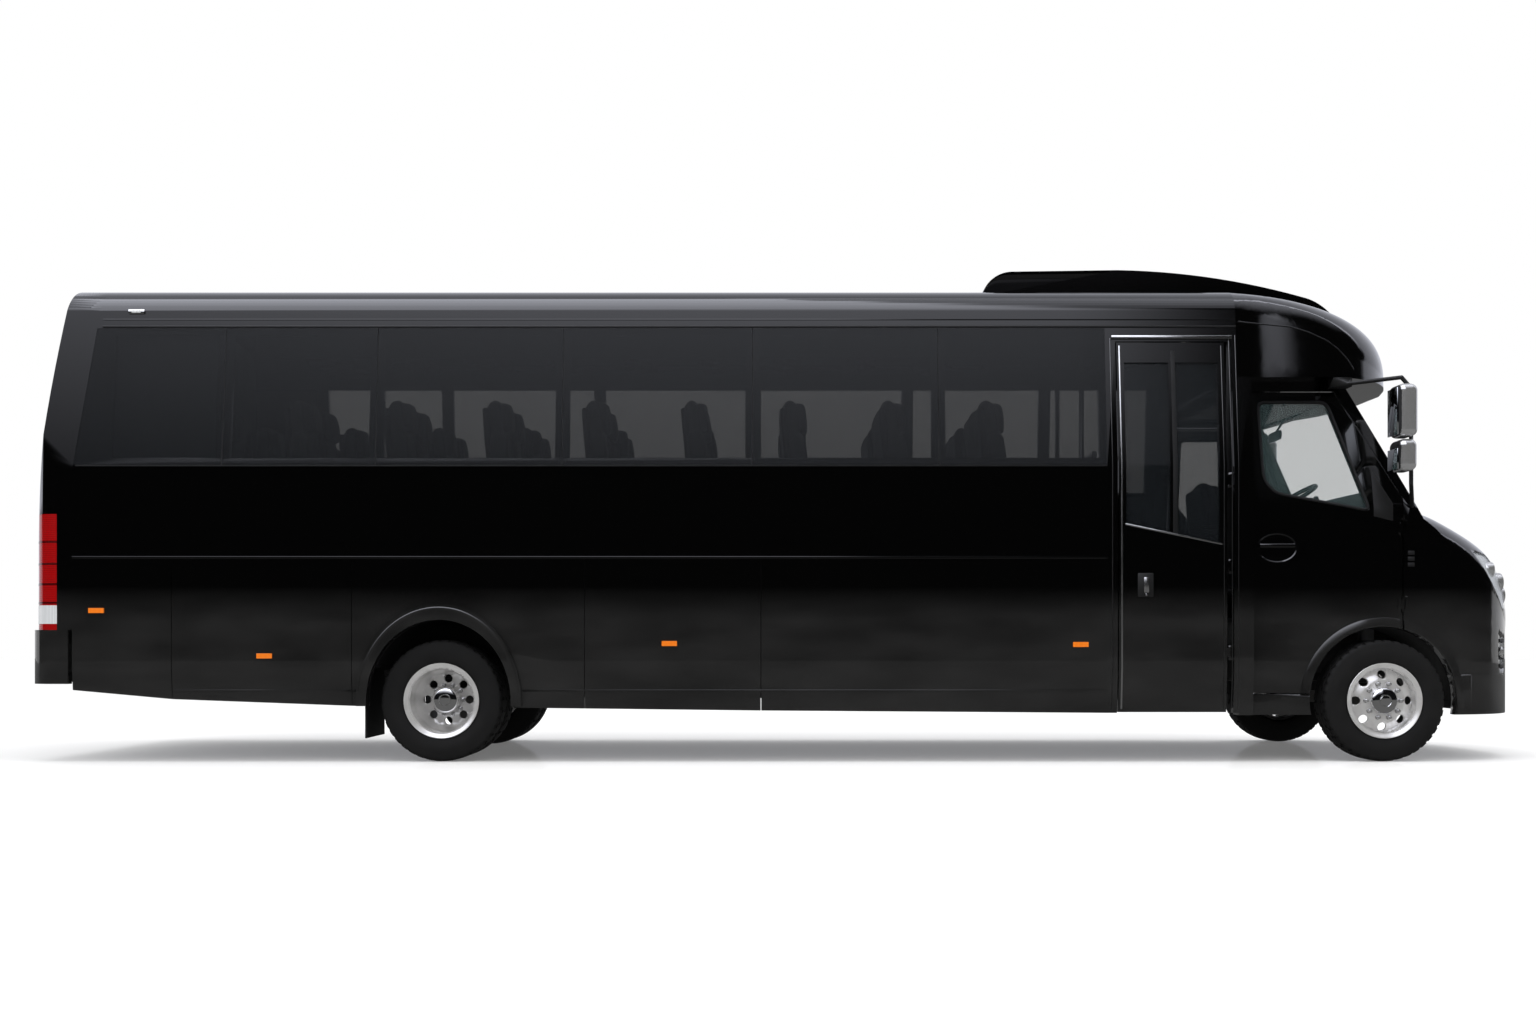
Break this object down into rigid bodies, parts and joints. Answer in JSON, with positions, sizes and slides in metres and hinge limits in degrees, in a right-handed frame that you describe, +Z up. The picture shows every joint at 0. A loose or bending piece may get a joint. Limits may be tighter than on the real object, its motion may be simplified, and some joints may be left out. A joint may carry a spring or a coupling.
{
  "type": "mini coach",
  "caption": "Long black mini coach on a ladder frame, with a bonneted van cab under a domed roof front, twin rear wheels, side entry door and tinted bonded windows.",
  "frame": {"origin": "on the ground, under the middle of the coach's overall box", "axes": "+X forward, +Y to the coach's left, +Z up"},
  "size_m": [9.7941, 2.83, 3.24],
  "materials": {
    "black_paint": "gloss black coach paint",
    "tinted_glass": "dark tinted safety glass",
    "clear_glass": "lightly tinted cab glass",
    "frame_black": "satin black chassis paint",
    "cast_metal": "bare cast iron and steel",
    "exhaust_steel": "dull stainless steel",
    "polished_rim": "polished aluminium",
    "tyre_rubber": "black tyre rubber",
    "flap_rubber": "matt black rubber",
    "trim_black": "grained black plastic",
    "red_lens": "red lamp lens",
    "amber_lens": "amber lamp lens",
    "clear_lens": "clear lamp lens",
    "mirror_chrome": "chromed mirror shell",
    "seat_cloth": "dark seat cloth",
    "floor_vinyl": "grey floor vinyl",
    "rail_steel": "satin stainless tube"
  },
  "bodies": {
    "chassis": {"frame_rails": "frame_black", "cross_members": "frame_black", "floor_bearers": "frame_black", "front_axle": "cast_metal", "rear_axle": "cast_metal", "leaf_springs": "frame_black", "engine_block": "cast_metal", "drive_line": "cast_metal", "fuel_tank": "frame_black", "exhaust": "exhaust_steel", "mud_flaps": "flap_rubber", "arch_liners": "trim_black", "saloon_floor": "floor_vinyl", "luggage_bulkhead": "trim_black", "entry_steps": "floor_vinyl", "left_wall": "black_paint", "right_wall": "black_paint", "skirt_panels": "black_paint", "rear_cap": "black_paint", "rear_arch_flares": "black_paint", "roof_shell": "black_paint", "roof_air_unit": "black_paint", "front_dome": "black_paint", "front_posts": "black_paint", "door_frame": "black_paint", "saloon_windows": "tinted_glass", "rear_bumper": "black_paint", "tail_lamps": "red_lens", "side_markers": "amber_lens", "cab_shell": "black_paint", "cab_floor": "floor_vinyl", "windscreen": "clear_glass", "front_bumper": "black_paint", "grille": "trim_black", "front_lamps": "clear_lens", "dashboard": "trim_black", "cab_seats": "seat_cloth", "passenger_seats": "seat_cloth", "grab_rails": "rail_steel", "mirrors": "mirror_chrome"},
    "entry_door": {"entry_door": "black_paint", "entry_glass": "tinted_glass"},
    "cab_door_left": {"cab_door_left": "black_paint", "cab_glass_left": "clear_glass"},
    "cab_door_right": {"cab_door_right": "black_paint", "cab_glass_right": "clear_glass"},
    "bonnet": {"bonnet": "black_paint"},
    "boot_lid": {"boot_lid": "black_paint"},
    "steering_wheel": {"steering_wheel": "trim_black"},
    "knuckle_left": {"knuckle_left": "cast_metal"},
    "front_wheel_left": {"front_wheel_left": "polished_rim", "front_tyre_left": "tyre_rubber"},
    "rear_wheels_left": {"rear_wheels_left": "polished_rim", "rear_tyres_left": "tyre_rubber"},
    "knuckle_right": {"knuckle_right": "cast_metal"},
    "front_wheel_right": {"front_wheel_right": "polished_rim", "front_tyre_right": "tyre_rubber"},
    "rear_wheels_right": {"rear_wheels_right": "polished_rim", "rear_tyres_right": "tyre_rubber"}
  },
  "joints": [
    {"name": "steer_left", "type": "hinge", "parent": "chassis", "child": "knuckle_left", "pos_m": [3.8, 0.88, 0.391], "axis": [0, 0, 1], "range_deg": [-35, 35]},
    {"name": "front_spin_left", "type": "hinge", "parent": "knuckle_left", "child": "front_wheel_left", "pos_m": [3.8, 1.003, 0.391], "axis": [0, 1, 0], "continuous": true},
    {"name": "rear_spin_left", "type": "hinge", "parent": "chassis", "child": "rear_wheels_left", "pos_m": [-2.25, 0.872, 0.391], "axis": [0, 1, 0], "continuous": true},
    {"name": "cab_door_left", "type": "hinge", "parent": "chassis", "child": "cab_door_left", "pos_m": [3.925, 1.09, 1.255], "axis": [0, 0, -1], "range_deg": [0, 50]},
    {"name": "steer_right", "type": "hinge", "parent": "chassis", "child": "knuckle_right", "pos_m": [3.8, -0.88, 0.391], "axis": [0, 0, 1], "range_deg": [-35, 35]},
    {"name": "front_spin_right", "type": "hinge", "parent": "knuckle_right", "child": "front_wheel_right", "pos_m": [3.8, -1.003, 0.391], "axis": [0, 1, 0], "continuous": true},
    {"name": "rear_spin_right", "type": "hinge", "parent": "chassis", "child": "rear_wheels_right", "pos_m": [-2.25, -0.872, 0.391], "axis": [0, 1, 0], "continuous": true},
    {"name": "cab_door_right", "type": "hinge", "parent": "chassis", "child": "cab_door_right", "pos_m": [3.925, -1.09, 1.255], "axis": [0, 0, 1], "range_deg": [0, 50]},
    {"name": "steering", "type": "hinge", "parent": "chassis", "child": "steering_wheel", "pos_m": [3.705, 0.42, 1.81], "axis": [-0.5299, 0, 0.848], "range_deg": [-525, 525]},
    {"name": "entry_door", "type": "hinge", "parent": "chassis", "child": "entry_door", "pos_m": [2.79, -1.163, 1.25], "axis": [0, 0, 1], "range_deg": [0, 90]},
    {"name": "bonnet", "type": "hinge", "parent": "chassis", "child": "bonnet", "pos_m": [4.179, 0, 1.592], "axis": [0, -1, 0], "range_deg": [0, 55]},
    {"name": "boot_lid", "type": "hinge", "parent": "chassis", "child": "boot_lid", "pos_m": [-4.81566, 0, 1.704], "axis": [0, 1, 0], "range_deg": [0, 85]}
  ],
  "couplings": [
    {"joint": "steer_right", "follows": "steer_left", "ratio": 1},
    {"joint": "steering", "follows": "steer_left", "ratio": 15}
  ]
}
